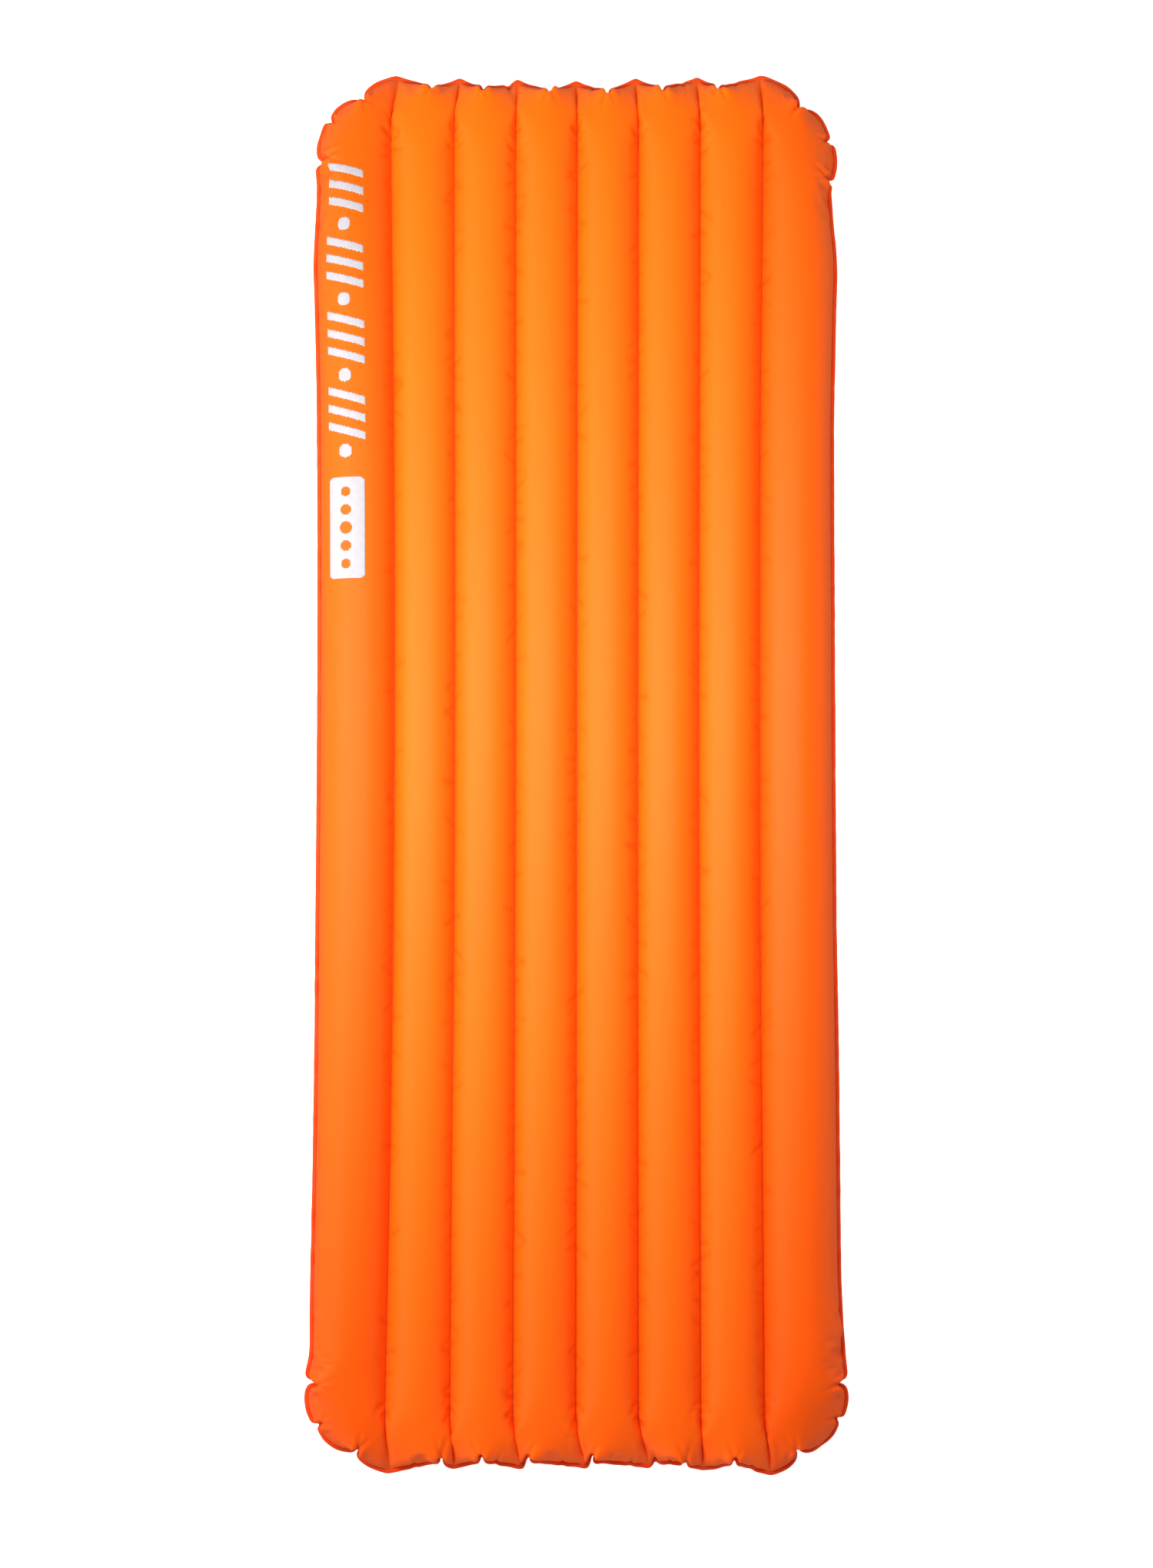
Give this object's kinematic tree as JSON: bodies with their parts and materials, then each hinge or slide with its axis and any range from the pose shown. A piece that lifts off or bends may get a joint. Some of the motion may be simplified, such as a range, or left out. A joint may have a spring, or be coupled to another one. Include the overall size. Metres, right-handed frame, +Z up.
{
  "type": "inflatable sleeping pad",
  "caption": "Inflatable camping sleeping pad, shown inflated: lengthwise air tubes between wider side tubes, inner baffles and insulating film, and a flat two-stage valve on its side.",
  "frame": {"origin": "middle of the pad in plan, on the surface that its side tubes rest on", "axes": "+X across the width, +Y along the length towards the head end, +Z up"},
  "size_m": [0.68, 1.83, 0.1002],
  "materials": {
    "pad_fabric": "satin coated ripstop nylon, bright orange",
    "baffle_fabric": "pale coated nylon, inside the pad",
    "metallised_film": "thin reflective insulating film",
    "valve_tpu": "soft matte moulded polyurethane, charcoal",
    "valve_plastic": "fine-grained moulded plastic, charcoal",
    "seal_silicone": "smooth translucent grey silicone",
    "white_print": "thin matte white screen print"
  },
  "bodies": {
    "pad": {"top_sheet": "pad_fabric", "bottom_sheet": "pad_fabric", "baffle_1": "baffle_fabric", "baffle_2": "baffle_fabric", "baffle_3": "baffle_fabric", "baffle_4": "baffle_fabric", "baffle_5": "baffle_fabric", "baffle_6": "baffle_fabric", "baffle_7": "baffle_fabric", "thermal_film_1": "metallised_film", "thermal_film_2": "metallised_film", "thermal_film_3": "metallised_film", "thermal_film_4": "metallised_film", "thermal_film_5": "metallised_film", "thermal_film_6": "metallised_film", "thermal_film_7": "metallised_film", "thermal_film_8": "metallised_film", "valve_flange": "valve_tpu", "valve_body": "valve_plastic", "body_seal": "seal_silicone", "plug_strap": "valve_tpu"},
    "plug": {"deflation_plug": "valve_plastic", "cap_strap": "valve_tpu"},
    "cap": {"inflation_cap": "valve_plastic", "cap_seal": "seal_silicone"},
    "flap": {"check_flap": "seal_silicone"}
  },
  "joints": [
    {"name": "plug_hinge", "type": "hinge", "parent": "pad", "child": "plug", "pos_m": [0.33953, -0.7, 0.03394], "axis": [0, -1, 0], "range_deg": [0, 120], "deforming": ["plug_strap"]},
    {"name": "cap_hinge", "type": "hinge", "parent": "plug", "child": "cap", "pos_m": [0.32974, -0.6868, 0.01699], "axis": [0.5736, 0, 0.8192], "range_deg": [0, 150], "deforming": ["cap_strap"]},
    {"name": "flap_slide", "type": "slide", "parent": "plug", "child": "flap", "axis": [-0.8192, 0, 0.5736], "range_m": [0, 0.0015], "stiffness_N_per_m": 20}
  ]
}
